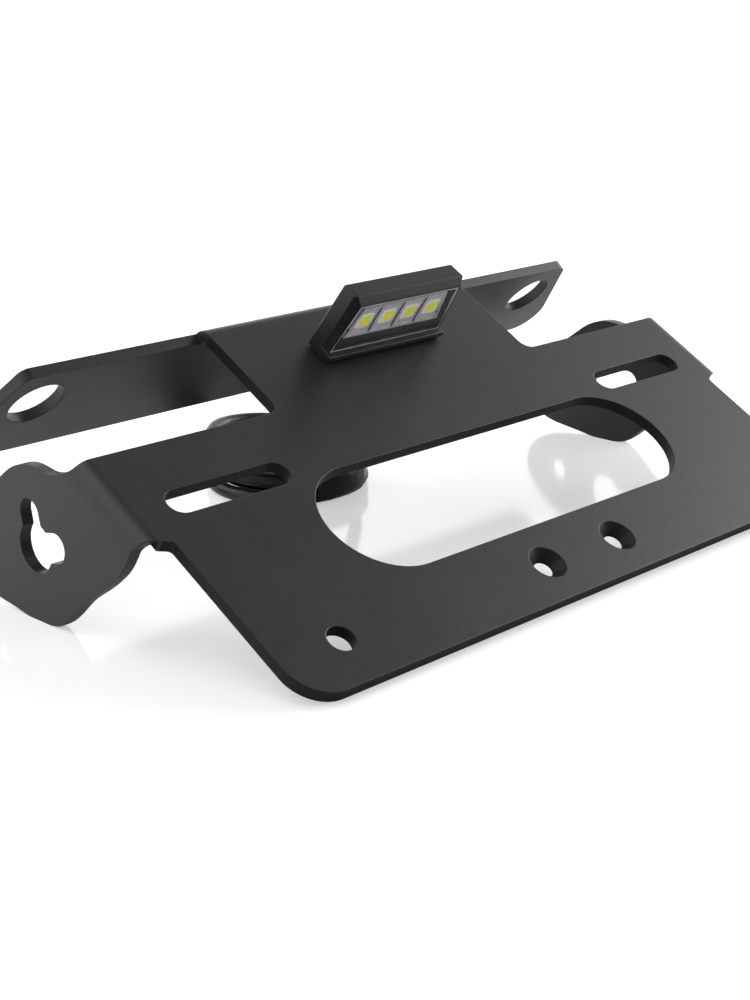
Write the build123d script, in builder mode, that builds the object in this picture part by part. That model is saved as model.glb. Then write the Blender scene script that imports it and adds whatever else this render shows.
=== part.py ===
from build123d import *
import os
from math import sin, cos, tan, radians, acos, atan2, pi

# Tail tidy: a folded number-plate bracket with a plate lamp on its neck.
# Millimetres. X runs across the bracket, Y towards its rear flange, Z up.
# The bracket rests on the plate's lower edge and on the tips of its two ears.

# Sheet and folds
SHEET = 3.0
PLATE_TILT = 30.0
NECK_FOLD = 75.0
NECK_FOLD_R = 1.0
EAR_FOLD_R = 2.0

# Number-plate carrier, measured up its front face from the lower edge
PLATE_W = 200.0
PLATE_H = 78.0
PLATE_CORNER_R = 10.0
STEP_FILLET_R = 1.4
EAR_LOW = 50.6
STEP_LOW = 49.3
OVAL_AT = 39.25
OVAL_SPAN = 123.3
OVAL_H = 33.8
SLOT_AT = 59.6
SLOT_PITCH = 152.9
SLOT_SPAN = 35.9
SLOT_W = 7.4
SINK_AT = 11.2
SINK_PITCH = 27.3
SINK_HOLE_D = 5.0
SINK_RIM_D = 10.0
CORNER_HOLE_AT = 12.0
CORNER_HOLE_PITCH = 163.4
CORNER_HOLE_D = 7.0

# Neck
NECK_W = 92.8
NECK_TOP = 111.3
NECK_FILLET_R = 3.5

# Rear flange with its two wings
FLANGE_H = 32.5
WING_TOP_W = 197.4
WING_SPLAY = 0.411
WING_TOP_R = 3.0
WING_LOW_R = 8.0
WING_HOLE_PITCH = 182.1
WING_HOLE_AT = 12.4
WING_HOLE_D = 15.2

# Ears, folded straight back from the plate's sides
EAR_SPAN = 216.2
EAR_TIP_LOW = 42.5
EAR_TIP_HIGH = 46.2
EAR_REACH = 54.2
EAR_EDGE_LOW = [
    (1.3, 0.8),
    (2.0, 2.5),
    (2.2, 6.0),
    (2.7, 11.0),
    (3.9, 14.8),
    (6.8, 21.4),
    (9.6, 27.0),
    (11.2, 32.0),
    (12.6, 36.0),
    (14.4, 39.6),
]
EAR_TOE = (16.05, 41.2)
EAR_EDGE_HIGH = [
    (1.0, 47.9),
    (4.9, 49.5),
    (8.7, 51.1),
    (17.5, 53.6),
    (24.4, 51.8),
    (28.2, 46.0),
    (27.4, 38.0),
    (24.2, 30.0),
    (20.6, 22.3),
    (18.2, 17.3),
    (15.6, 14.0),
    (12.5, 11.5),
    (9.0, 9.9),
    (5.4, 8.2),
    (3.4, 6.4),
    (1.4, 4.2),
    (0.1, 2.0),
    (0.0, 0.4),
]
KEY_BACK = 28.4
KEY_AT = 80.4
KEY_R = 6.2
KEY_LOBE_R = 3.6
KEY_LOBE_OUT = 8.0
KEY_TURN = 48.5
KEY_FILLET_R = 0.8
EAR_HOLE_BACK = 41.6
EAR_HOLE_AT = 94.9
EAR_HOLE_D = 7.0

# Plate lamp on the neck
LAMP_DOWN = 20.44
LAMP_LEAN = 7.0
LAMP_H = 21.0
LAMP_DEPTH = 6.9
LAMP_TOP_W = 39.6
LAMP_LOW_W = 43.0
LAMP_BEVEL = 2.3
LAMP_LIP = 1.7
LAMP_LIP_H = 2.5
LAMP_EDGE_R = 0.7
GASKET_T = 0.8
GASKET_INSET = 0.6
LENS_TOP_W = 36.3
LENS_LOW_W = 40.6
LENS_LOW = 2.6
LENS_H = 15.8
LENS_T = 0.9
LENS_RIM = 0.5
LENS_GAP = 0.1
BOARD_T = 1.0
BOARD_DEEP = 2.9
CELL_TOP_W = 30.6
CELL_LOW_W = 35.0
CELL_LOW = 6.6
CELL_H = 10.3
CELL_T = 0.8
CELL_FLOOR = 0.35
CELL_RIB = 0.7
LED_COUNT = 4
LED_PITCH = 8.3
LED_W = 4.6
LED_T = 0.6
LED_GAP = 0.1

# Lamp fixings, from behind the neck
LAMP_FIX_BEHIND = 4.74
LAMP_FIX_PITCH = 26.0
SCREW_D = 3.0
SCREW_HOLE_D = 3.4
SCREW_BITE = 7.0
SCREW_HEAD_D = 5.6
SCREW_HEAD_H = 2.0
WASHER_D = 7.0
WASHER_T = 0.5
THREAD_GAP = 0.02

# Lead, grommet and connector
LEAD_D = 4.0
LEAD_BEHIND = 4.64
LEAD_BITE = 1.8
LEAD_GAP = 0.05
GROMMET_HOLE_D = 8.0
GROMMET_RIM_D = 11.0
GROMMET_RIM_T = 1.4
GROMMET_NOSE = 3.6
TUBE_SIDES = 12
COIL_AT = (4.0, 126.0)
COIL_OUT_R = 26.6
COIL_IN_R = 17.4
COIL_HIGH = 16.8
COIL_LOW = 9.6
COIL_HIGH_AT = 115.0
COIL_ROUND = 2.8
WRAP_AT = 275.0
WRAP_SPAN = 44.0
WRAP_T = 0.6
PLUG_L = 22.0
PLUG_W = 10.4
PLUG_H = 7.6
PLUG_COLLAR_L = 3.6
PLUG_WAY_W = 3.4
PLUG_WAY_H = 2.6
PLUG_WAY_PITCH = 4.4
PLUG_WAY_DEEP = 11.0
PIN_W = 2.2
PIN_T = 0.7
PIN_L = 8.5
SEAL_L = 2.6

os.makedirs("parts", exist_ok=True)

tilt = radians(PLATE_TILT)
fold = radians(NECK_FOLD)
up_plate = Vector(0, cos(tilt), sin(tilt))
off_plate = Vector(0, -sin(tilt), cos(tilt))
drop = tilt - fold
down_flange = Vector(0, cos(drop), sin(drop))
off_flange = Vector(0, -sin(drop), cos(drop))

# The object's own box is centred on Y = 0, from the plate's front edge to the flange's lower edge.
fold_out_r = NECK_FOLD_R + SHEET
fold_run = fold_out_r * tan(fold / 2)
flange_low = fold_run + FLANGE_H
depth_all = NECK_TOP * cos(tilt) + flange_low * cos(drop)
front_y = -depth_all / 2
base = Vector(0, front_y, SHEET * cos(tilt))


def on_plate(x, s, h):
    return base + Vector(x, 0, 0) + up_plate * s + off_plate * h


plate_plane = Plane(origin=base, x_dir=(1, 0, 0), z_dir=off_plate)
side_plane = Plane(origin=base, x_dir=up_plate, z_dir=(1, 0, 0))
lamp_at = NECK_TOP - LAMP_DOWN
lamp_fix_at = lamp_at + LAMP_FIX_BEHIND
lead_at = lamp_at + LEAD_BEHIND
fold_corner = on_plate(0, NECK_TOP, 0)
flange_plane = Plane(origin=fold_corner, x_dir=(1, 0, 0), z_dir=off_flange)


def on_floor(back):
    """Distance up the plate's face of the floor line, at a depth behind that face."""
    return (back * cos(tilt) - SHEET * cos(tilt)) / sin(tilt)


# Ear: an L of sheet drawn out along the fold, then trimmed to the ear's outline
ear_x = EAR_SPAN / 2
ear_out_r = EAR_FOLD_R + SHEET
ear_in_x = ear_x - ear_out_r
mid_out = ear_out_r * sin(pi / 4)
mid_in = EAR_FOLD_R * sin(pi / 4)
ear_section = Plane(origin=on_plate(0, EAR_LOW - 8, 0), x_dir=(1, 0, 0), z_dir=up_plate)
with BuildPart() as ear:
    with BuildSketch(ear_section):
        with BuildLine():
            Line((ear_in_x, 0), (ear_in_x, SHEET))
            ThreePointArc(
                (ear_in_x, SHEET),
                (ear_in_x + mid_in, ear_out_r - mid_in),
                (ear_x - SHEET, ear_out_r),
            )
            Line((ear_x - SHEET, ear_out_r), (ear_x - SHEET, EAR_REACH + 8))
            Line((ear_x - SHEET, EAR_REACH + 8), (ear_x, EAR_REACH + 8))
            Line((ear_x, EAR_REACH + 8), (ear_x, ear_out_r))
            ThreePointArc(
                (ear_x, ear_out_r),
                (ear_in_x + mid_out, ear_out_r - mid_out),
                (ear_in_x, 0),
            )
        make_face()
    extrude(amount=PLATE_H + 8)
    with BuildSketch(side_plane.offset(ear_in_x)):
        with BuildLine():
            l1 = Line((PLATE_H, 1), (EAR_LOW, 1))
            l2 = Line(l1 @ 1, (EAR_LOW, -0.1))
            l3 = Spline(l2 @ 1, *[(EAR_LOW + up, -back) for up, back in EAR_EDGE_LOW])
            l4 = ThreePointArc(
                l3 @ 1,
                (EAR_LOW + EAR_TOE[0], -EAR_TOE[1]),
                (on_floor(EAR_TIP_LOW), -EAR_TIP_LOW),
            )
            l5 = Line(l4 @ 1, (on_floor(EAR_TIP_HIGH), -EAR_TIP_HIGH))
            l6 = Spline(
                l5 @ 1,
                *[(PLATE_H + up, -back) for up, back in EAR_EDGE_HIGH],
                tangents=(l5 % 1, (0, 1)),
            )
            l7 = Line(l6 @ 1, (PLATE_H, 1))
        make_face()
    extrude(amount=ear_out_r + 0.01, mode=Mode.INTERSECT)
    key_mid = Vector(KEY_AT, -KEY_BACK)
    with BuildSketch(side_plane.offset(ear_x)) as keyhole:
        with Locations((KEY_AT, -KEY_BACK)):
            Circle(KEY_R)
            with PolarLocations(KEY_LOBE_OUT / 2, 2, start_angle=KEY_TURN, angular_range=180):
                SlotCenterToCenter(KEY_LOBE_OUT, 2 * KEY_LOBE_R)
        bends = [v for v in keyhole.vertices() if (Vector(v.X, v.Y) - key_mid).length < KEY_R + 0.6]
        fillet(bends, KEY_FILLET_R)
    extrude(amount=-SHEET - 1, mode=Mode.SUBTRACT)
    with BuildSketch(side_plane.offset(ear_x)):
        with Locations((EAR_HOLE_AT, -EAR_HOLE_BACK)):
            Circle(EAR_HOLE_D / 2)
    extrude(amount=-SHEET - 1, mode=Mode.SUBTRACT)

# Bracket: plate, neck, ears and flange are one folded sheet
neck_end = NECK_TOP - fold_run
with BuildPart() as bracket:
    with BuildSketch(plate_plane) as carrier:
        with Locations((0, PLATE_H / 2)):
            Rectangle(PLATE_W, PLATE_H)
        fillet(carrier.vertices().group_by(Axis.Y)[0], PLATE_CORNER_R)
        for side in (-1, 1):
            with BuildLine():
                Polyline(
                    (side * (PLATE_W / 2 - 1), STEP_LOW),
                    (side * PLATE_W / 2, STEP_LOW),
                    (side * ear_in_x, EAR_LOW),
                    (side * ear_in_x, PLATE_H),
                    (side * (PLATE_W / 2 - 1), PLATE_H),
                    close=True,
                )
            make_face()
        with Locations((0, neck_end / 2)):
            Rectangle(NECK_W, neck_end)
        step = [v for v in carrier.vertices() if abs(v.Y - STEP_LOW) < 0.01 and abs(abs(v.X) - PLATE_W / 2) < 0.01]
        fillet(step, STEP_FILLET_R)
        root = [v for v in carrier.vertices() if abs(v.Y - PLATE_H) < 0.01 and abs(abs(v.X) - NECK_W / 2) < 0.01]
        fillet(root, NECK_FILLET_R)
    extrude(amount=-SHEET)
    with BuildSketch(side_plane.offset(-NECK_W / 2)):
        centre = Vector(neck_end, -fold_out_r)
        with BuildLine():
            out_0 = Vector(neck_end, 0)
            out_m = centre + Vector(sin(fold / 2), cos(fold / 2)) * fold_out_r
            out_1 = centre + Vector(sin(fold), cos(fold)) * fold_out_r
            in_0 = Vector(neck_end, -SHEET)
            in_m = centre + Vector(sin(fold / 2), cos(fold / 2)) * NECK_FOLD_R
            in_1 = centre + Vector(sin(fold), cos(fold)) * NECK_FOLD_R
            ThreePointArc(out_0, out_m, out_1)
            Line(out_1, in_1)
            ThreePointArc(in_1, in_m, in_0)
            Line(in_0, out_0)
        make_face()
    extrude(amount=NECK_W)
    with BuildSketch(flange_plane) as wings:
        low_w = WING_TOP_W / 2 + WING_SPLAY * FLANGE_H
        with BuildLine():
            Polyline(
                (-WING_TOP_W / 2, fold_run),
                (WING_TOP_W / 2, fold_run),
                (low_w, flange_low),
                (-low_w, flange_low),
                close=True,
            )
        make_face()
        rows = wings.vertices().group_by(Axis.Y)
        fillet(rows[-1], WING_LOW_R)
        rows = wings.vertices().group_by(Axis.Y)
        fillet(rows[0], WING_TOP_R)
        with Locations((0, fold_run + WING_HOLE_AT)):
            with GridLocations(WING_HOLE_PITCH, 0, 2, 1):
                Circle(WING_HOLE_D / 2, mode=Mode.SUBTRACT)
    extrude(amount=-SHEET)
    add(ear.part)
    add(ear.part.mirror(Plane.YZ))
    with BuildSketch(plate_plane):
        with Locations((0, OVAL_AT)):
            SlotOverall(OVAL_SPAN, OVAL_H)
        with Locations((0, SLOT_AT)):
            with GridLocations(SLOT_PITCH, 0, 2, 1):
                SlotOverall(SLOT_SPAN, SLOT_W)
        with Locations((0, CORNER_HOLE_AT)):
            with GridLocations(CORNER_HOLE_PITCH, 0, 2, 1):
                Circle(CORNER_HOLE_D / 2)
        with Locations((0, SINK_AT)):
            with GridLocations(SINK_PITCH, 0, 2, 1):
                Circle(SINK_HOLE_D / 2)
        with Locations((0, lamp_fix_at)):
            with GridLocations(LAMP_FIX_PITCH, 0, 2, 1):
                Circle(SCREW_HOLE_D / 2)
        with Locations((0, lead_at)):
            Circle(GROMMET_HOLE_D / 2)
    extrude(amount=-SHEET - 1, mode=Mode.SUBTRACT)
    sink_deep = (SINK_RIM_D - SINK_HOLE_D) / 2
    with BuildSketch(plate_plane):
        with Locations((0, SINK_AT)):
            with GridLocations(SINK_PITCH, 0, 2, 1):
                Circle(SINK_RIM_D / 2)
    extrude(amount=-sink_deep, taper=45, mode=Mode.SUBTRACT)
bracket.part.label = "bracket"

# Lamp housing: bevelled front round the window, a lip along its foot, flat base on the neck
lean = radians(LAMP_LEAN)
lamp_in = up_plate * cos(lean) + off_plate * sin(lean)
lamp_plane = Plane(origin=on_plate(0, lamp_at, 0), x_dir=(1, 0, 0), z_dir=lamp_in * -1)


def window(low_w, top_w, low, high, grow=0.0):
    """Corners of the lamp's tapered window outline, widened by grow on each side."""
    slope = (low_w - top_w) / 2 / (high - low)
    return [
        (-low_w / 2 - grow - slope * grow, low - grow),
        (low_w / 2 + grow + slope * grow, low - grow),
        (top_w / 2 + grow - slope * grow, high + grow),
        (-top_w / 2 - grow + slope * grow, high + grow),
    ]


lens_high = LENS_LOW + LENS_H
with BuildPart() as housing:
    with BuildSketch(lamp_plane):
        Polygon(*window(LENS_LOW_W, LENS_TOP_W, LENS_LOW, lens_high, LENS_RIM), align=None)
    with BuildSketch(lamp_plane.offset(-LAMP_BEVEL)):
        Polygon(*window(LAMP_LOW_W, LAMP_TOP_W, 0, LAMP_H + 1), align=None)
    loft()
    with BuildSketch(lamp_plane.offset(-LAMP_BEVEL)):
        Polygon(*window(LAMP_LOW_W, LAMP_TOP_W, 0, LAMP_H + 1), align=None)
    extrude(amount=-(LAMP_DEPTH - LAMP_BEVEL))
    with BuildSketch(lamp_plane.offset(LAMP_LIP)):
        with Locations((0, LAMP_LIP_H / 2)):
            Rectangle(LAMP_LOW_W - 0.2, LAMP_LIP_H)
    extrude(amount=-LAMP_LIP - LAMP_BEVEL)
    with BuildSketch(plate_plane.offset(GASKET_T)):
        with Locations((0, lamp_at)):
            Rectangle(60, 40)
    extrude(amount=-10, mode=Mode.SUBTRACT)
    with BuildSketch(plate_plane.offset(LAMP_H)):
        with Locations((0, lamp_at)):
            Rectangle(60, 40)
    extrude(amount=10, mode=Mode.SUBTRACT)
    ends = [e for e in housing.edges() if (e @ 0.5 - on_plate(0, 0, 0)).dot(off_plate) > GASKET_T + 0.2]
    soft = [e for e in ends if (e @ 0.5 - lamp_plane.origin).dot(lamp_in) > LAMP_BEVEL + 0.5]
    fillet(soft, LAMP_EDGE_R)
    with BuildSketch(lamp_plane):
        Polygon(*window(LENS_LOW_W, LENS_TOP_W, LENS_LOW, lens_high, LENS_GAP), align=None)
    extrude(amount=-LENS_T, mode=Mode.SUBTRACT)
    with BuildSketch(lamp_plane):
        Polygon(*window(LENS_LOW_W, LENS_TOP_W, LENS_LOW, lens_high, -LENS_RIM), align=None)
    extrude(amount=-BOARD_DEEP, mode=Mode.SUBTRACT)
    with BuildSketch(plate_plane.offset(GASKET_T)):
        with Locations((0, lead_at)):
            Circle(LEAD_D / 2 + LEAD_GAP)
    extrude(amount=LEAD_BITE, mode=Mode.SUBTRACT)
    with BuildSketch(plate_plane.offset(GASKET_T)):
        with Locations((0, lamp_fix_at)):
            with GridLocations(LAMP_FIX_PITCH, 0, 2, 1):
                Circle(SCREW_D / 2 + THREAD_GAP)
    extrude(amount=SCREW_BITE, mode=Mode.SUBTRACT)
housing.part.label = "lamp_housing"

# Gasket under the lamp, cut to its foot
foot_front = lamp_at - LAMP_LIP * cos(lean)
foot_back = lamp_at + LAMP_DEPTH * cos(lean)
with BuildPart() as gasket:
    with BuildSketch(plate_plane):
        with Locations((0, (foot_front + foot_back) / 2)):
            RectangleRounded(LAMP_LOW_W - 2 * GASKET_INSET, foot_back - foot_front - 2 * GASKET_INSET, 1.0)
        with Locations((0, lead_at)):
            Circle(LEAD_D / 2 + LEAD_GAP, mode=Mode.SUBTRACT)
        with Locations((0, lamp_fix_at)):
            with GridLocations(LAMP_FIX_PITCH, 0, 2, 1):
                Circle(SCREW_HOLE_D / 2, mode=Mode.SUBTRACT)
    extrude(amount=GASKET_T)
gasket.part.label = "lamp_gasket"

# Clear lens, set flush in the window
with BuildPart() as lens:
    with BuildSketch(lamp_plane):
        Polygon(*window(LENS_LOW_W, LENS_TOP_W, LENS_LOW, lens_high), align=None)
    extrude(amount=-LENS_T)
lens.part.label = "lamp_lens"

# Circuit board on the floor of the window
board_front = BOARD_DEEP - BOARD_T
with BuildPart() as board:
    with BuildSketch(lamp_plane.offset(-board_front)):
        Polygon(*window(LENS_LOW_W, LENS_TOP_W, LENS_LOW, lens_high, -LENS_RIM - LENS_GAP), align=None)
    extrude(amount=-BOARD_T)
board.part.label = "lamp_board"

# Reflector: a shallow tray with one cell for each diode
cell_mid = CELL_LOW + CELL_H / 2
cell_front = board_front - CELL_T
with BuildPart() as reflector:
    with BuildSketch(lamp_plane.offset(-board_front)):
        Polygon(*window(CELL_LOW_W, CELL_TOP_W, CELL_LOW, CELL_LOW + CELL_H), align=None)
    extrude(amount=CELL_T)
    with BuildSketch(lamp_plane.offset(-cell_front)):
        Polygon(*window(CELL_LOW_W, CELL_TOP_W, CELL_LOW, CELL_LOW + CELL_H, -CELL_RIB), align=None)
        with Locations((0, cell_mid)):
            with GridLocations(LED_PITCH, 0, LED_COUNT - 1, 1):
                Rectangle(CELL_RIB, CELL_H, mode=Mode.SUBTRACT)
    extrude(amount=-(CELL_T - CELL_FLOOR), mode=Mode.SUBTRACT)
    with BuildSketch(lamp_plane.offset(-cell_front)):
        with Locations((0, cell_mid)):
            with GridLocations(LED_PITCH, 0, LED_COUNT, 1):
                Rectangle(LED_W + 2 * LED_GAP, LED_W + 2 * LED_GAP)
    extrude(amount=-CELL_T, mode=Mode.SUBTRACT)
reflector.part.label = "lamp_reflector"

with BuildPart() as leds:
    with BuildSketch(lamp_plane.offset(-board_front)):
        with Locations((0, cell_mid)):
            with GridLocations(LED_PITCH, 0, LED_COUNT, 1):
                RectangleRounded(LED_W, LED_W, 0.4)
    extrude(amount=LED_T)
leds.part.label = "lamp_leds"

# Two thread-forming screws and their washers, under the neck
washer_low = -SHEET - WASHER_T
with BuildPart() as screws:
    with BuildSketch(plate_plane.offset(washer_low)):
        with Locations((0, lamp_fix_at)):
            with GridLocations(LAMP_FIX_PITCH, 0, 2, 1):
                Circle(SCREW_HEAD_D / 2)
    extrude(amount=-SCREW_HEAD_H)
    chamfer(screws.faces().sort_by(Axis((0, 0, 0), off_plate))[:2].edges(), SCREW_HEAD_H * 0.3)
    with BuildSketch(plate_plane.offset(washer_low - SCREW_HEAD_H)):
        with Locations((0, lamp_fix_at)):
            with GridLocations(LAMP_FIX_PITCH, 0, 2, 1):
                Rectangle(SCREW_HEAD_D * 0.5, 0.6)
                Rectangle(0.6, SCREW_HEAD_D * 0.5)
    extrude(amount=SCREW_HEAD_H * 0.5, mode=Mode.SUBTRACT)
    with BuildSketch(plate_plane.offset(washer_low)):
        with Locations((0, lamp_fix_at)):
            with GridLocations(LAMP_FIX_PITCH, 0, 2, 1):
                Circle(SCREW_D / 2)
    extrude(amount=-washer_low + GASKET_T + SCREW_BITE - 0.5)
screws.part.label = "lamp_screws"

with BuildPart() as washers:
    with BuildSketch(plate_plane.offset(-SHEET)):
        with Locations((0, lamp_fix_at)):
            with GridLocations(LAMP_FIX_PITCH, 0, 2, 1):
                Circle(WASHER_D / 2)
                Circle(SCREW_D / 2 + LEAD_GAP, mode=Mode.SUBTRACT)
    extrude(amount=-WASHER_T)
washers.part.label = "lamp_washers"

# Grommet where the lead passes the neck, turned about the lead's axis
lead_r = LEAD_D / 2
grommet_axis = Plane(origin=on_plate(0, lead_at, 0), x_dir=(1, 0, 0), z_dir=up_plate)
nose_low = SHEET + GROMMET_RIM_T + GROMMET_NOSE
with BuildPart() as grommet:
    with BuildSketch(grommet_axis):
        with BuildLine():
            Polyline(
                (lead_r + LEAD_GAP, 0),
                (GROMMET_HOLE_D / 2 - LEAD_GAP, 0),
                (GROMMET_HOLE_D / 2 - LEAD_GAP, SHEET),
                (GROMMET_RIM_D / 2, SHEET),
                (GROMMET_RIM_D / 2, SHEET + GROMMET_RIM_T - 0.5),
                (GROMMET_RIM_D / 2 - 0.5, SHEET + GROMMET_RIM_T),
                (lead_r + 1.5, SHEET + GROMMET_RIM_T),
                (lead_r + 0.8, nose_low),
                (lead_r + LEAD_GAP, nose_low),
                close=True,
            )
        make_face()
    revolve(axis=Axis(on_plate(0, lead_at, 0), off_plate))
grommet.part.label = "lead_grommet"


# Lead: a free cord from the lamp to its coil, and from the coil to the connector
def tube(points):
    """Straight runs joined by arcs as large as the runs allow."""
    pts = [Vector(*p) for p in points]
    radii = []
    for a, b, c in zip(pts, pts[1:], pts[2:]):
        turn = acos(max(-1, min(1, (b - a).normalized().dot((c - b).normalized()))))
        radii.append(0.45 * min((b - a).length, (c - b).length) / tan(turn / 2))
    with BuildPart() as made:
        with BuildLine() as path:
            FilletPolyline(*pts, radius=radii)
        with BuildSketch(Plane(origin=path.wire() @ 0, z_dir=path.wire() % 0)) as section:
            RegularPolygon(lead_r, TUBE_SIDES)
        sweep(path=path.wire())
    print("radii", [round(r, 1) for r in radii], "length", round(path.wire().length, 1))
    print("volume", round(made.part.volume, 1), "expected", round(path.wire().length * section.sketch.area, 1))
    return made.part


lead_top = on_plate(0, lead_at, GASKET_T + LEAD_BITE - LEAD_GAP)
lead_out = on_plate(0, lead_at, -11.8)
ROUTE_DOWN = [
    (1.5, 94.8, 25.5),
    (8.0, 100.5, 17.0),
    (17.5, 106.8, 12.8),
    (25.0, 116.0, 11.4),
    (27.6, 127.5, 10.8),
]
ROUTE_TAIL = [
    (6.0, 148.6, 2.4),
    (-5.2, 149.9, 2.8),
    (-17.0, 149.0, 3.8),
]
plug_x = -28.6
down_points = [(lead_top.X, lead_top.Y, lead_top.Z), (lead_out.X, lead_out.Y, lead_out.Z)]
down_points += [(x, y + front_y, z) for x, y, z in ROUTE_DOWN]
plug_y = ROUTE_TAIL[-1][1] + front_y
plug_mid = PLUG_H / 2
tail_points = [(x, y + front_y, z) for x, y, z in ROUTE_TAIL]
tail_points.append((plug_x - SEAL_L, plug_y, plug_mid))
lead_down = tube(down_points)
lead_tail = tube(tail_points)
lead_down.label = "lead_down"
lead_tail.label = "lead_tail"

# Coil: the outer shape of the lead's loose turns, which rise off the floor on one side
coil_axis = Vector(COIL_AT[0], COIL_AT[1] + front_y, 0)
coil_rise = atan2(COIL_HIGH - COIL_LOW, 2 * COIL_OUT_R)
high_at = radians(COIL_HIGH_AT)
coil_top = Plane(
    origin=coil_axis + Vector(0, 0, (COIL_HIGH + COIL_LOW) / 2),
    x_dir=(-sin(high_at), cos(high_at), 0),
    z_dir=(-sin(coil_rise) * cos(high_at), -sin(coil_rise) * sin(high_at), cos(coil_rise)),
)
with BuildPart() as coil:
    with BuildSketch(Plane.XZ.offset(-coil_axis.Y)) as ring:
        with Locations((coil_axis.X + (COIL_OUT_R + COIL_IN_R) / 2, COIL_HIGH / 2)):
            Rectangle(COIL_OUT_R - COIL_IN_R, COIL_HIGH)
        chamfer(ring.vertices().group_by(Axis.Y)[0], COIL_ROUND)
    revolve(axis=Axis(coil_axis, (0, 0, 1)))
    with BuildSketch(coil_top):
        Circle(2 * COIL_OUT_R)
    extrude(amount=COIL_HIGH, mode=Mode.SUBTRACT)
coil.part.label = "lead_coil"

# Wrap: a band of tape round the low side of the turns
wrap_cut = Plane(
    origin=coil_axis,
    x_dir=(cos(radians(WRAP_AT - WRAP_SPAN / 2)), sin(radians(WRAP_AT - WRAP_SPAN / 2)), 0),
    z_dir=(sin(radians(WRAP_AT - WRAP_SPAN / 2)), -cos(radians(WRAP_AT - WRAP_SPAN / 2)), 0),
)
with BuildPart() as wrap:
    with BuildSketch(wrap_cut):
        with Locations(((COIL_OUT_R + COIL_IN_R) / 2, COIL_HIGH / 2)):
            Rectangle(COIL_OUT_R - COIL_IN_R + 2 * WRAP_T, COIL_HIGH)
    revolve(axis=Axis(coil_axis, (0, 0, 1)), revolution_arc=WRAP_SPAN)
    with BuildSketch(coil_top.offset(WRAP_T)):
        Circle(2 * COIL_OUT_R)
    extrude(amount=COIL_HIGH, mode=Mode.SUBTRACT)
    add(coil.part, mode=Mode.SUBTRACT)
wrap.part.label = "lead_wrap"

# Connector: two-way shell with a latch, its rear seal and two pins
plug_plane = Plane(origin=(plug_x, plug_y, plug_mid), x_dir=(0, 1, 0), z_dir=(-1, 0, 0))
with BuildPart() as plug:
    with BuildSketch(plug_plane.offset(PLUG_COLLAR_L)):
        RectangleRounded(PLUG_W, PLUG_H, 0.8)
    extrude(amount=PLUG_L - PLUG_COLLAR_L)
    with BuildSketch(plug_plane):
        Circle(PLUG_H / 2 - 0.4)
    extrude(amount=PLUG_COLLAR_L)
    with BuildSketch(plug_plane):
        Circle(PLUG_H / 2 - 1.1)
    extrude(amount=SEAL_L, mode=Mode.SUBTRACT)
    with BuildSketch(plug_plane.offset(PLUG_L)):
        with GridLocations(PLUG_WAY_PITCH, 0, 2, 1):
            Rectangle(PLUG_WAY_W, PLUG_WAY_H)
    extrude(amount=-PLUG_WAY_DEEP, mode=Mode.SUBTRACT)
    with BuildSketch(plug_plane.offset(PLUG_L - 12)):
        with Locations((0, -PLUG_H / 2 - 0.6)):
            Rectangle(4.0, 1.2)
    extrude(amount=9.0)
plug.part.label = "connector_shell"

with BuildPart() as seal:
    with BuildSketch(plug_plane):
        Circle(PLUG_H / 2 - 1.1)
        Circle(lead_r + LEAD_GAP, mode=Mode.SUBTRACT)
    extrude(amount=SEAL_L)
seal.part.label = "connector_seal"

with BuildPart() as pins:
    with BuildSketch(plug_plane.offset(PLUG_L - PLUG_WAY_DEEP)):
        with GridLocations(PLUG_WAY_PITCH, 0, 2, 1):
            Rectangle(PIN_W, PIN_T)
    extrude(amount=PIN_L)
pins.part.label = "connector_pins"

export_step(bracket.part, "parts/bracket.step")
export_step(housing.part, "parts/lamp_housing.step")
export_step(gasket.part, "parts/lamp_gasket.step")
export_step(lens.part, "parts/lamp_lens.step")
export_step(board.part, "parts/lamp_board.step")
export_step(reflector.part, "parts/lamp_reflector.step")
export_step(leds.part, "parts/lamp_leds.step")
export_step(screws.part, "parts/lamp_screws.step")
export_step(washers.part, "parts/lamp_washers.step")
export_step(grommet.part, "parts/lead_grommet.step")
export_step(lead_down, "parts/lead_down.step")
export_step(lead_tail, "parts/lead_tail.step")
export_step(coil.part, "parts/lead_coil.step")
export_step(wrap.part, "parts/lead_wrap.step")
export_step(plug.part, "parts/connector_shell.step")
export_step(seal.part, "parts/connector_seal.step")
export_step(pins.part, "parts/connector_pins.step")

for made in [bracket, housing, gasket, lens, board, reflector, leds, screws, washers, grommet, coil, wrap, plug, seal, pins]:
    box = made.part.bounding_box()
    print(made.part.label, "solids", len(made.part.solids()), "valid", made.part.is_valid, box)
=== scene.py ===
import bmesh
import bpy
import numpy as np
from mathutils import Matrix


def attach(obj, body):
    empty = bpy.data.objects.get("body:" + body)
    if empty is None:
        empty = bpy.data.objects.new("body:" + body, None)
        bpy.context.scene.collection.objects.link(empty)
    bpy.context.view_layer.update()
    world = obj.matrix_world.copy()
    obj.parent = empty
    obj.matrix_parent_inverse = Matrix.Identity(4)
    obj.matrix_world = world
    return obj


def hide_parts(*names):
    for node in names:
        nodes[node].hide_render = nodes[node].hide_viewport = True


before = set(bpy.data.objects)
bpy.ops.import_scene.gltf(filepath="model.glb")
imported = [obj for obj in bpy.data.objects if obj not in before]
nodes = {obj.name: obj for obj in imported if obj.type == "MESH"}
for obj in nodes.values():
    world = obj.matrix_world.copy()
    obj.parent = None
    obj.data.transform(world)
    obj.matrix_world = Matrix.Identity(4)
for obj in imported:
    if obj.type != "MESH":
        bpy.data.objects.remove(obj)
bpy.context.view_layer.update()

# Camera: low and to the left, looking along the plate to the lamp and the wings.
# It is set level to within a degree, on a short lens close to the tail tidy.
camera_az = np.radians(44.976)
camera_el = np.radians(17.729)
camera_roll = np.radians(-0.593)
camera_at = (-0.316618, -0.295984, 0.148070)


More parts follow.
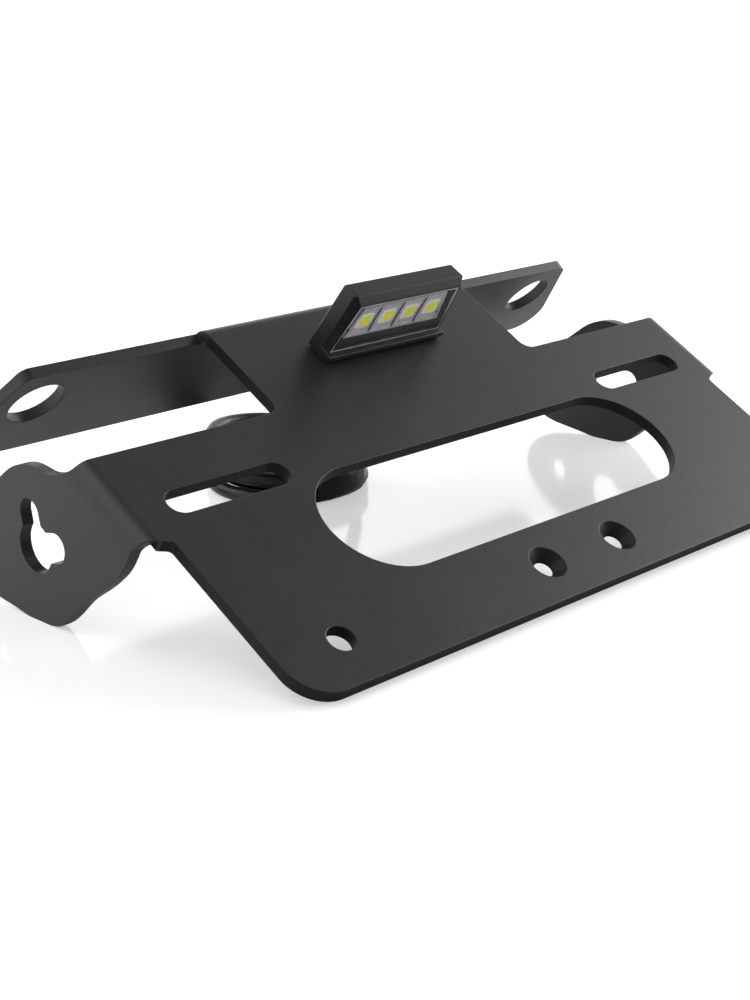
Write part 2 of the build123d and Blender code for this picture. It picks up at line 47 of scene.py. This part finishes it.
def placed(across, upward, backward, at):
    """The matrix of a thing that stands at a place with its own three axes along the given ones."""
    turned = np.eye(4)
    turned[:3, :3] = np.column_stack([across, upward, backward])
    turned[:3, 3] = at
    return Matrix(turned.tolist())


back = np.array([
    -np.sin(camera_az) * np.cos(camera_el),
    -np.cos(camera_az) * np.cos(camera_el),
    np.sin(camera_el),
])
level_right = np.array([np.cos(camera_az), -np.sin(camera_az), 0.0])
level_up = np.cross(back, level_right)
camera_right = np.cos(camera_roll) * level_right + np.sin(camera_roll) * level_up
camera_up = np.cos(camera_roll) * level_up - np.sin(camera_roll) * level_right
camera = bpy.data.objects.new("camera", bpy.data.cameras.new("camera"))
bpy.context.collection.objects.link(camera)
camera.matrix_world = placed(camera_right, camera_up, back, camera_at)
camera.data.sensor_fit = "VERTICAL"
camera.data.sensor_height = 24.0
camera.data.lens = 41.286
camera.data.clip_start = 0.01
bpy.context.scene.camera = camera

# Lead: two thin wires in one round sheath of satin black vinyl, 4 mm across and 0.67 m long.
# It drops from the lamp's grommet, lies in four loose turns behind the plate and ends in its plug.
# Each row of the two tables is one turn, with a value for each of its bearings.
lead_d = 0.004
lead_exit = (0.0, 0.02066, 0.05256)
lead_drop = [
    lead_exit,
    (0.0, 0.02784, 0.04013),
    (0.0015, 0.03403, 0.0255),
    (0.0080, 0.03973, 0.0170),
    (0.0175, 0.04603, 0.0128),
    (0.0250, 0.05523, 0.0114),
    (0.0276, 0.06673, 0.0108),
]
lead_end = [
    (0.0060, 0.08783, 0.0024),
    (-0.0052, 0.08913, 0.0028),
    (-0.0170, 0.08823, 0.0038),
    (-0.0312, 0.08823, 0.0038),
]
turns_mid = (0.0040, 0.06523)
turns_from = np.radians(3.6)
turns_to = np.radians(85.0 + 4 * 360.0)
turns_steps = 56
turn_bearings = [0, 25, 70, 115, 160, 205, 250, 295, 340]
end_bearings = [1440, 1465, 1525]
turn_radii_mm = [
    [23.6, 23.6, 22.4, 20.1, 18.1, 18.6, 19.9, 21.1, 20.8],
    [20.2, 20.2, 20.8, 20.7, 20.6, 22.9, 24.4, 25.6, 25.2],
    [24.5, 24.2, 23.0, 19.7, 18.0, 18.4, 19.9, 21.1, 20.6],
    [19.8, 19.2, 18.4, 18.6, 19.6, 22.7, 24.4, 25.6, 25.2],
    [24.4, 24.2, 24.2],
]
turn_heights_mm = [
    [10.8, 11.6, 13.8, 14.8, 13.0, 9.8, 7.8, 6.6, 6.5],
    [7.1, 8.3, 10.0, 10.5, 9.6, 8.0, 6.8, 6.5, 6.3],
    [6.3, 6.3, 6.4, 6.4, 6.0, 4.7, 3.4, 2.4, 2.2],
    [2.1, 2.1, 2.1, 2.1, 2.1, 2.2, 2.3, 2.3, 2.2],
    [2.1, 2.1, 2.3],
]


def loose_turns(mid, first, last, steps, bearings, radii, heights):
    """A point goes round mid from angle first to last: mid + r (cos a, sin a), at height h.
    The radius r and the height h are read in between the ones given at each bearing, in degrees."""
    angle = np.linspace(first, last, steps)
    radius = np.interp(angle, np.radians(bearings), radii)
    height = np.interp(angle, np.radians(bearings), heights)
    return np.column_stack([mid[0] + radius * np.cos(angle), mid[1] + radius * np.sin(angle), height])


def cord_line(name, points, thickness):
    """One open spline of the third order, from its first point to its last and drawn towards the others.
    Each point carries the cord's radius."""
    line = bpy.data.curves.new(name, "CURVE")
    line.dimensions = "3D"
    spline = line.splines.new("NURBS")
    spline.points.add(len(points) - 1)
    spline.points.foreach_set("co", np.column_stack([points, np.ones(len(points))]).ravel())
    spline.points.foreach_set("radius", np.full(len(points), thickness / 2))
    spline.order_u = 3
    spline.use_endpoint_u = True
    spline.resolution_u = 8
    spline.use_smooth = True
    line.bevel_depth = 1.0
    line.bevel_resolution = 5
    line.use_fill_caps = True
    made = bpy.data.objects.new(name, line)
    bpy.context.collection.objects.link(made)
    return made


def finish(name, colour, rough, metal=0.0):
    """A material with one Principled surface, and the tools to build on it."""
    made = bpy.data.materials.new(name)
    made.use_nodes = True
    tree = made.node_tree
    surface = tree.nodes["Principled BSDF"]
    surface.inputs["Base Color"].default_value = (*colour, 1.0)
    surface.inputs["Roughness"].default_value = rough
    surface.inputs["Metallic"].default_value = metal
    return made, tree, surface


def pebbles(tree, size, detail, low=0.0, high=1.0):
    """Noise of that grain size in metres on object coordinates, spread to the range low to high."""
    place = tree.nodes.new("ShaderNodeTexCoord")
    noise = tree.nodes.new("ShaderNodeTexNoise")
    noise.inputs["Scale"].default_value = 1.0 / size
    noise.inputs["Detail"].default_value = detail
    tree.links.new(place.outputs["Object"], noise.inputs["Vector"])
    spread = tree.nodes.new("ShaderNodeMapRange")
    spread.inputs["From Min"].default_value = 0.25
    spread.inputs["From Max"].default_value = 0.75
    spread.inputs["To Min"].default_value = low
    spread.inputs["To Max"].default_value = high
    tree.links.new(noise.outputs["Fac"], spread.inputs["Value"])
    return spread.outputs["Result"]


def relief(tree, surface, edge, *layers):
    """Edges rounded to the radius edge, and on them a bump for each layer of height and depth in metres."""
    rim = tree.nodes.new("ShaderNodeBevel")
    rim.samples = 8
    rim.inputs["Radius"].default_value = edge
    normal = rim.outputs["Normal"]
    for height, deep in layers:
        bump = tree.nodes.new("ShaderNodeBump")
        bump.inputs["Distance"].default_value = deep
        tree.links.new(height, bump.inputs["Height"])
        tree.links.new(normal, bump.inputs["Normal"])
        normal = bump.outputs["Normal"]
    tree.links.new(normal, surface.inputs["Normal"])


turns = loose_turns(
    turns_mid, turns_from, turns_to, turns_steps,
    [bearing + 360 * turn for turn in range(4) for bearing in turn_bearings] + end_bearings,
    np.concatenate(turn_radii_mm) / 1000, np.concatenate(turn_heights_mm) / 1000,
)
lead_points = np.vstack([lead_drop, turns[1:-1], lead_end])
lead = cord_line("lead", lead_points, lead_d)
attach(lead, "root")
sheath_black, tree, surface = finish("sheath_black", (0.009, 0.009, 0.0094), 0.30)
surface.inputs["Specular IOR Level"].default_value = 0.42
relief(tree, surface, 0.0001, (pebbles(tree, 0.0016, 2.0), 0.00003))
tree.links.new(pebbles(tree, 0.006, 4.0, 0.26, 0.40), surface.inputs["Roughness"])
lead.data.materials.append(sheath_black)

# Tape: a band of shiny black vinyl tape that holds the four turns together on the low side of the coil.
# It is wound three times round them in low steps, so it follows the rounds of the four sheaths.
# The held points are the four sheaths' middles at its two ends: out from the coil's middle, and up.
tape_from = np.radians(254.0)
tape_to = np.radians(296.0)
tape_t = 0.00015
tape_laps = 3
tape_layers = 1.5
tape_rows = 64
tape_columns = 96
lap_at = 0.94
lap_sharp = 90
lap_step = 0.35
tape_inside = 0.00002
floor_gap = 0.00005
held_first = np.array([(0.0194, 0.0077), (0.0238, 0.0068), (0.0194, 0.0033), (0.0238, 0.0023)])
held_last = np.array([(0.0203, 0.0068), (0.0246, 0.0065), (0.0203, 0.0025), (0.0246, 0.0023)])


def tape_band(share, around):
    """The skin of the wound band, on a grid of its share along the coil and the angle a round the turns.
    It runs at m + r (cos a, sin a), with m the sheath's middle that lies furthest in the direction a.
    The radius r steps by a part of the tape where a lap begins, and the first and last rows turn in."""
    share = share[:, None]
    middles = held_first + share[:, :, None] * (held_last - held_first)
    way = np.column_stack([np.cos(around), np.sin(around)])
    furthest = np.argmax(np.einsum("ijk,lk->ilj", middles, way), axis=2)
    middle = np.take_along_axis(middles, furthest[:, :, None], axis=1)
    spiral = share * tape_laps - around / (2 * np.pi)
    lap = np.floor(spiral) + 1 / (1 + np.exp(-((spiral % 1) - lap_at) * lap_sharp))
    radius = lead_d / 2 + tape_t * (tape_layers + lap_step * (lap % 2))
    radius[[0, -1]] = lead_d / 2 + tape_inside
    across = middle[:, :, 0] + radius * way[:, 0]
    high = np.maximum(middle[:, :, 1] + radius * way[:, 1], floor_gap)
    turn = tape_from + share * (tape_to - tape_from)
    return np.stack([
        turns_mid[0] + across * np.cos(turn), turns_mid[1] + across * np.sin(turn), high,
    ], axis=-1)


def closed_both_ways(name, grid):
    """A closed skin through rows and columns of points, where the last row and column join the first."""
    rows, columns = grid.shape[:2]
    here = np.arange(rows * columns).reshape(rows, columns)
    down = np.roll(here, -1, axis=0)
    corners = np.stack([here, down, np.roll(down, -1, axis=1), np.roll(here, -1, axis=1)], axis=-1)
    mesh = bpy.data.meshes.new(name)
    mesh.from_pydata(grid.reshape(-1, 3).tolist(), [], corners.reshape(-1, 4).tolist())
    skin = bmesh.new()
    skin.from_mesh(mesh)
    bmesh.ops.recalc_face_normals(skin, faces=skin.faces)
    skin.to_mesh(mesh)
    skin.free()
    mesh.shade_smooth()
    made = bpy.data.objects.new(name, mesh)
    bpy.context.collection.objects.link(made)
    return made


tape_shares = np.concatenate([[0.0], np.linspace(0, 1, tape_rows), [1.0]])
tape_around = np.linspace(0, 2 * np.pi, tape_columns, endpoint=False)
tape = closed_both_ways("tape", tape_band(tape_shares, tape_around))
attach(tape, "root")
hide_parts("lead_wrap")
tape_black, tree, surface = finish("tape_black", (0.006, 0.006, 0.0064), 0.26)
surface.inputs["Specular IOR Level"].default_value = 0.35
relief(tree, surface, 0.0001, (pebbles(tree, 0.0025, 3.0), 0.00007))
tree.links.new(pebbles(tree, 0.004, 3.0, 0.20, 0.32), surface.inputs["Roughness"])
tape.data.materials.append(tape_black)
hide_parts("lead_down", "lead_coil", "lead_tail")

# Table and light: a white gloss sheet, a wide soft window high on the left and a soft box low on the right.
# The room is white to the camera. What it mirrors and lights is pale low down, dim overhead and in front.
floor_reach = 3.0
floor_grey = (0.78, 0.78, 0.78)
floor_seen = 0.45
floor_mirrored = 0.05
room_low = 1.35
room_high = 0.33
room_rise = (0.30, 0.78)
room_front = 0.30
room_turn = (-0.85, -0.10)
room_white = (1.0, 1.0, 1.0, 1.0)
floor_mesh = bpy.data.meshes.new("floor")
floor_mesh.from_pydata(
    [
        (-floor_reach, -floor_reach, 0), (floor_reach, -floor_reach, 0),
        (floor_reach, floor_reach, 0), (-floor_reach, floor_reach, 0),
    ],
    [], [(0, 1, 2, 3)],
)
floor = bpy.data.objects.new("floor", floor_mesh)
bpy.context.collection.objects.link(floor)


def maths(tree, kind, *values):
    """One Math node of that kind on values or sockets."""
    node = tree.nodes.new("ShaderNodeMath")
    node.operation = kind
    for socket, value in zip(node.inputs, values):
        if isinstance(value, float):
            socket.default_value = value
        else:
            tree.links.new(value, socket)
    return node.outputs[0]


def eased(tree, value, low, high, at_low, at_high):
    """A smooth step that goes from at_low to at_high while value goes from low to high."""
    step = tree.nodes.new("ShaderNodeMapRange")
    step.interpolation_type = "SMOOTHSTEP"
    for name, number in zip(("From Min", "From Max", "To Min", "To Max"), (low, high, at_low, at_high)):
        step.inputs[name].default_value = number
    tree.links.new(value, step.inputs["Value"])
    return step.outputs["Result"]


def seen_rays(tree, plain, gloss):
    """The value plain for rays from the camera and through clear plastic, gloss for mirrored ones, else 0."""
    ray = tree.nodes.new("ShaderNodeLightPath")
    straight = maths(tree, "MAXIMUM", ray.outputs["Is Camera Ray"], ray.outputs["Is Transmission Ray"])
    mirrored = maths(tree, "MULTIPLY", ray.outputs["Is Glossy Ray"], gloss)
    return maths(tree, "ADD", maths(tree, "MULTIPLY", straight, plain), mirrored)


def soft_sun(name, height, bearing, spread, power):
    """A far soft lamp as wide as spread, at a height and a bearing from +y towards +x, all in degrees."""
    made = bpy.data.objects.new(name, bpy.data.lights.new(name, "SUN"))
    made.data.angle = np.radians(spread)
    made.data.energy = power
    bpy.context.collection.objects.link(made)
    tall, round_z = np.radians(height), np.radians(bearing)
    away = np.array([np.cos(tall) * np.sin(round_z), np.cos(tall) * np.cos(round_z), np.sin(tall)])
    side = np.cross((0, 0, 1), away)
    side = side / np.linalg.norm(side)
    made.matrix_world = placed(side, np.cross(away, side), away, (0, 0, 0))
    return made


gloss_sheet, tree, surface = finish("gloss_sheet", floor_grey, 0.11)
surface.inputs["IOR"].default_value = 1.7
surface.inputs["Emission Color"].default_value = room_white
tree.links.new(seen_rays(tree, floor_seen, floor_mirrored), surface.inputs["Emission Strength"])
floor_mesh.materials.append(gloss_sheet)

world = bpy.data.worlds.new("studio")
bpy.context.scene.world = world
world.use_nodes = True
tree = world.node_tree
room = tree.nodes["Background"]
room.inputs["Strength"].default_value = 1.0
white = tree.nodes.new("ShaderNodeBackground")
white.inputs["Color"].default_value = room_white
white.inputs["Strength"].default_value = 1.0
towards = tree.nodes.new("ShaderNodeTexCoord")
parts = tree.nodes.new("ShaderNodeSeparateXYZ")
tree.links.new(towards.outputs["Generated"], parts.inputs[0])
overhead = eased(tree, parts.outputs["Z"], *room_rise, room_low, room_high)
in_front = eased(tree, parts.outputs["Y"], *room_turn, room_front, 1.0)
tree.links.new(maths(tree, "MULTIPLY", overhead, in_front), room.inputs["Color"])
ray = tree.nodes.new("ShaderNodeLightPath")
choose = tree.nodes.new("ShaderNodeMixShader")
tree.links.new(ray.outputs["Is Camera Ray"], choose.inputs[0])
tree.links.new(room.outputs[0], choose.inputs[1])
tree.links.new(white.outputs[0], choose.inputs[2])
tree.links.new(choose.outputs[0], tree.nodes["World Output"].inputs["Surface"])

soft_sun("high_window", height=60, bearing=-40, spread=60, power=1.25)
right_box = soft_sun("right_box", height=20, bearing=109, spread=44, power=1.38)
right_box.data.color = (1.0, 0.955, 1.0)

# Bracket: one blank of 3 mm steel sheet, laser cut, folded at the neck and at both ears.
# It is shot blasted and powder coated in satin black: a fine even grain over a faint orange peel.
# The coat rounds the edges. The plate's cut faces are rougher and duller, and their colour is darkened as
# painted shade.
plate_up = (0.0, 0.8660, 0.5)
plate_across = (1.0, 0.0, 0.0)
ear_fold_x = 0.1031
neck_fold_up = 0.0569
fold_soft = 0.001
flat_reach = 0.20
cut_reach = 0.45
cut_specular = 0.20
cut_rougher = 0.15
cut_painted_shade = 0.55
coat_edge = 0.0004
coat_peel = 0.0022
coat_grain = 0.00028


def between(tree, share, first, last):
    """A colour that goes from first to last with share. Each is a colour, or a socket that gives one."""
    blend = tree.nodes.new("ShaderNodeMix")
    blend.data_type = "RGBA"
    tree.links.new(share, blend.inputs[0])
    for socket, colour in ((blend.inputs[6], first), (blend.inputs[7], last)):
        if isinstance(colour, tuple):
            socket.default_value = (*colour, 1.0)
        else:
            tree.links.new(colour, socket)
    return blend.outputs[2]


def along_way(tree, vector, way):
    """How far a vector reaches along a unit direction."""
    reach = tree.nodes.new("ShaderNodeVectorMath")
    reach.operation = "DOT_PRODUCT"
    reach.inputs[1].default_value = way
    tree.links.new(vector, reach.inputs[0])
    return reach.outputs["Value"]


def cut_faces(tree):
    """1 on the plate's cut faces and 0 on its flat ones, whose normal reaches neither up it nor across it.
    Past the ear folds and the neck fold the sheet turns away, so it is 0 from there on."""
    place = tree.nodes.new("ShaderNodeTexCoord")
    up_it = maths(tree, "ABSOLUTE", along_way(tree, place.outputs["Normal"], plate_up))
    across_it = maths(tree, "ABSOLUTE", along_way(tree, place.outputs["Normal"], plate_across))
    cut = eased(tree, maths(tree, "MAXIMUM", up_it, across_it), flat_reach, cut_reach, 0.0, 1.0)
    off_middle_line = maths(tree, "ABSOLUTE", along_way(tree, place.outputs["Object"], plate_across))
    short_of_ears = eased(tree, off_middle_line, ear_fold_x - fold_soft, ear_fold_x, 1.0, 0.0)
    risen = along_way(tree, place.outputs["Object"], plate_up)
    short_of_neck = eased(tree, risen, neck_fold_up - fold_soft, neck_fold_up, 1.0, 0.0)
    return maths(tree, "MULTIPLY", cut, maths(tree, "MULTIPLY", short_of_ears, short_of_neck))


def coat(made, *pieces):
    """Each of the pieces takes this finish in all its slots."""
    for piece in pieces:
        for slot in piece.material_slots:
            slot.material = made


coat_black, tree, surface = finish("coat_black", (0.014, 0.0137, 0.0148), 0.36)
relief(
    tree, surface, coat_edge,
    (pebbles(tree, coat_peel, 1.0), 0.000012),
    (pebbles(tree, coat_grain, 2.0), 0.000016),
)
cut = cut_faces(tree)
tree.links.new(eased(tree, cut, 0.0, 1.0, 0.50, cut_specular), surface.inputs["Specular IOR Level"])
rougher = maths(tree, "MULTIPLY", cut, cut_rougher)
rough = maths(tree, "ADD", pebbles(tree, 0.018, 4.0, 0.33, 0.39), rougher)
tree.links.new(rough, surface.inputs["Roughness"])
shade = between(tree, pebbles(tree, 0.009, 5.0), (0.0130, 0.0122, 0.0158), (0.0160, 0.0151, 0.0188))
# On the cut faces the coat's colour is scaled down: painted shade where they lie in shadow.
cut_painted_darkening = tree.nodes.new("ShaderNodeVectorMath")
cut_painted_darkening.operation = "SCALE"
tree.links.new(shade, cut_painted_darkening.inputs[0])
tree.links.new(eased(tree, cut, 0.0, 1.0, 1.0, cut_painted_shade), cut_painted_darkening.inputs["Scale"])
tree.links.new(cut_painted_darkening.outputs[0], surface.inputs["Base Color"])
coat(coat_black, nodes["bracket"])

# Lamp housing: one moulded nylon shell, screwed to the neck from below.
# Its mould is spark eroded, so the black is finely matt and every edge has a small round.
mould_edge = 0.0004
black_moulding, tree, surface = finish("black_moulding", (0.008, 0.008, 0.0084), 0.36)
surface.inputs["Specular IOR Level"].default_value = 0.45
relief(
    tree, surface, mould_edge,
    (pebbles(tree, 0.0012, 1.0), 0.000010),
    (pebbles(tree, 0.00022, 2.0), 0.000014),
)
tree.links.new(pebbles(tree, 0.004, 3.0, 0.32, 0.42), surface.inputs["Roughness"])
coat(black_moulding, nodes["lamp_housing"])

# Gasket and grommet: soft black rubber, the one cut from sheet and pressed flat under the housing.
# The other is moulded round the lead, and its lip snaps behind the neck's hole.
black_rubber, tree, surface = finish("black_rubber", (0.012, 0.012, 0.012), 0.58)
relief(tree, surface, 0.0002, (pebbles(tree, 0.0004, 3.0), 0.00002))
tree.links.new(pebbles(tree, 0.003, 3.0, 0.50, 0.68), surface.inputs["Roughness"])
coat(black_rubber, nodes["lamp_gasket"], nodes["lead_grommet"])

# Lens: a flat window of clear acrylic with a tapered outline, glued into the housing's front.
# Its rim is made pale and frosted as a painted highlight: the light its edge catches, shown as a thin pale
# line.
lens_foot = (0.0, 0.017917, 0.048028)
lens_up = (0.0, -0.6018, 0.7987)
lens_low = 0.0026
lens_high = 0.0184
lens_low_w = 0.0406
lens_top_w = 0.0363
rim_from = 0.00015
rim_to = 0.00045


def on_lens(tree, foot, up):
    """Two distances from the lens's foot: along x, and along the unit direction up."""
    place = tree.nodes.new("ShaderNodeTexCoord")
    shifted = tree.nodes.new("ShaderNodeVectorMath")
    shifted.operation = "SUBTRACT"
    shifted.inputs[1].default_value = foot
    tree.links.new(place.outputs["Object"], shifted.inputs[0])
    return along_way(tree, shifted.outputs[0], (1.0, 0.0, 0.0)), along_way(tree, shifted.outputs[0], up)


clear_acrylic, tree, surface = finish("clear_acrylic", (0.98, 0.98, 0.99), 0.03)
surface.inputs["IOR"].default_value = 1.49
surface.inputs["Specular IOR Level"].default_value = 0.3
relief(tree, surface, 0.0002, (pebbles(tree, 0.006, 1.0), 0.00003))
along, high = on_lens(tree, lens_foot, lens_up)
half_w = eased(tree, high, lens_low, lens_high, lens_low_w / 2, lens_top_w / 2)
from_side = maths(tree, "SUBTRACT", half_w, maths(tree, "ABSOLUTE", along))
from_foot = maths(tree, "SUBTRACT", high, lens_low)
from_top = maths(tree, "SUBTRACT", lens_high, high)
from_edge = maths(tree, "MINIMUM", from_side, maths(tree, "MINIMUM", from_foot, from_top))
# Near its edge the lens turns pale and rough: a painted highlight along the rim.
tree.links.new(eased(tree, from_edge, rim_from, rim_to, 0.25, 1.0), surface.inputs["Transmission Weight"])
tree.links.new(eased(tree, from_edge, rim_from, rim_to, 0.45, 0.03), surface.inputs["Roughness"])
coat(clear_acrylic, nodes["lamp_lens"])

# Reflector: a tray of moulded plastic with a bright plated face and a thin divider between the diodes.
# The dividers' left faces turn from the light, and their shade is painted into the tray's colour as dark
# lines.
diode_pitch = 0.0083
rib_t = 0.0007
rib_face = diode_pitch - rib_t / 2
rib_near = 0.00004
rib_far = 0.00016
plated = (0.95, 0.94, 0.97)
rib_painted_shade = (0.16, 0.16, 0.18)
plated_reflector, tree, surface = finish("plated_reflector", plated, 0.30, 0.10)
relief(tree, surface, 0.0003, (pebbles(tree, 0.0030, 1.0), 0.00010))
along = on_lens(tree, lens_foot, lens_up)[0]
past_rib = maths(tree, "FLOORED_MODULO", along, diode_pitch)
face_begins = eased(tree, past_rib, rib_face - rib_far, rib_face - rib_near, 0.0, 1.0)
face_ends = eased(tree, past_rib, rib_face + rib_near, rib_face + rib_far, 1.0, 0.0)
# Thin dark lines at the dividers' left faces: painted shade.
shade = between(tree, maths(tree, "MULTIPLY", face_begins, face_ends), plated, rib_painted_shade)
tree.links.new(shade, surface.inputs["Base Color"])
tree.links.new(pebbles(tree, 0.0018, 3.0, 0.22, 0.38), surface.inputs["Roughness"])
coat(plated_reflector, nodes["lamp_reflector"])

# Board: a strip of glass fibre under dark green mask, clipped in behind the tray.
# Its upper edge carries a row of small tinned chips, and the diodes are soldered below them.
tray_high = 0.0169
mask_soft = 0.0002
chip_pitch = 0.0026
gap_ends = chip_pitch * 0.26
chip_begins = chip_pitch * 0.34
tinned = (0.72, 0.72, 0.76)
board_green, tree, surface = finish("board_green", (0.006, 0.014, 0.011), 0.34)
surface.inputs["Specular IOR Level"].default_value = 0.2
relief(tree, surface, 0.0001, (pebbles(tree, 0.0009, 1.0), 0.00002))


def off_middle(tree, value, pitch):
    """How far a value is from the middle of its step, in a row of steps of that pitch."""
    within = maths(tree, "FLOORED_MODULO", value, pitch)
    return maths(tree, "ABSOLUTE", maths(tree, "SUBTRACT", within, pitch / 2))


along, high = on_lens(tree, lens_foot, lens_up)
masked = between(tree, pebbles(tree, 0.0012, 0.0), (0.004, 0.010, 0.008), (0.007, 0.017, 0.014))
chip = eased(tree, off_middle(tree, along, chip_pitch), gap_ends, chip_begins, 0.0, 1.0)
on_strip = eased(tree, high, tray_high, tray_high + mask_soft, 0.0, 1.0)
shade = between(tree, maths(tree, "MULTIPLY", chip, on_strip), masked, tinned)
tree.links.new(shade, surface.inputs["Base Color"])
coat(board_green, nodes["lamp_board"])

# Diodes: four square white plastic bodies on the board, each with a pad of yellow phosphor.
# They are soldered on by machine, at the tray's pitch.
diode_high = 0.01175
pad_side = 0.0036
pad_ends = pad_side / 2 - 0.0001
body_begins = pad_side / 2 + 0.0002
body_white = (0.80, 0.80, 0.80)
pad_yellow = (0.84, 0.82, 0.05)
diode, tree, surface = finish("diode", body_white, 0.35)
along, high = on_lens(tree, lens_foot, lens_up)
off_row = maths(tree, "ABSOLUTE", maths(tree, "SUBTRACT", high, diode_high))
off_pad = maths(tree, "MAXIMUM", off_middle(tree, along, diode_pitch), off_row)
on_pad = eased(tree, off_pad, pad_ends, body_begins, 1.0, 0.0)
shade = between(tree, on_pad, body_white, pad_yellow)
tree.links.new(shade, surface.inputs["Base Color"])
# The diodes also glow faintly in their own colour, though they are unlit: painted light that brightens them
# in the recess.
tree.links.new(shade, surface.inputs["Emission Color"])
surface.inputs["Emission Strength"].default_value = 0.32
tree.links.new(pebbles(tree, 0.0008, 2.0, 0.28, 0.45), surface.inputs["Roughness"])
coat(diode, nodes["lamp_leds"])

# Fixings: two thread-forming steel screws with plain washers, zinc plated and faintly blue.
# They go in from behind the neck, and above the sheet their threads carry a black locking patch.
sheet_up = (0.0, -0.5, 0.8660)
patch_soft = 0.0002
patch_black = (0.010, 0.010, 0.011)
zinc_plate, tree, surface = finish("zinc_plate", (0.60, 0.61, 0.64), 0.30, 1.0)
relief(tree, surface, 0.00015, (pebbles(tree, 0.0005, 3.0), 0.00001))
tree.links.new(pebbles(tree, 0.002, 4.0, 0.24, 0.40), surface.inputs["Roughness"])
zinc = between(tree, pebbles(tree, 0.003, 2.0), (0.56, 0.58, 0.63), (0.66, 0.65, 0.62))
tree.links.new(zinc, surface.inputs["Base Color"])
coat(zinc_plate, nodes["lamp_washers"])

zinc_plate_locked = zinc_plate.copy()
zinc_plate_locked.name = "zinc_plate_locked"
tree = zinc_plate_locked.node_tree
surface = tree.nodes["Principled BSDF"]
zinc = surface.inputs["Base Color"].links[0].from_socket
above_sheet = on_lens(tree, lens_foot, sheet_up)[1]
patch = eased(tree, above_sheet, 0.0, patch_soft, 0.0, 1.0)
tree.links.new(between(tree, patch, zinc, patch_black), surface.inputs["Base Color"])
tree.links.new(maths(tree, "SUBTRACT", 1.0, patch), surface.inputs["Metallic"])
coat(zinc_plate_locked, nodes["lamp_screws"])

# Plug: a moulded nylon shell of the housing's black, with a rubber seal on the lead and two pins.
# The pins are stamped from brass strip, thinly tinned, and crimped to the two wires.
tin_brass, tree, surface = finish("tin_brass", (0.72, 0.58, 0.34), 0.30, 1.0)
relief(tree, surface, 0.0001, (pebbles(tree, 0.0006, 3.0), 0.00001))
tree.links.new(pebbles(tree, 0.0015, 3.0, 0.24, 0.38), surface.inputs["Roughness"])
coat(black_moulding, nodes["connector_shell"])
coat(black_rubber, nodes["connector_seal"])
coat(tin_brass, nodes["connector_pins"])

bpy.context.scene.view_settings.view_transform = "Standard"
bpy.context.view_layer.update()
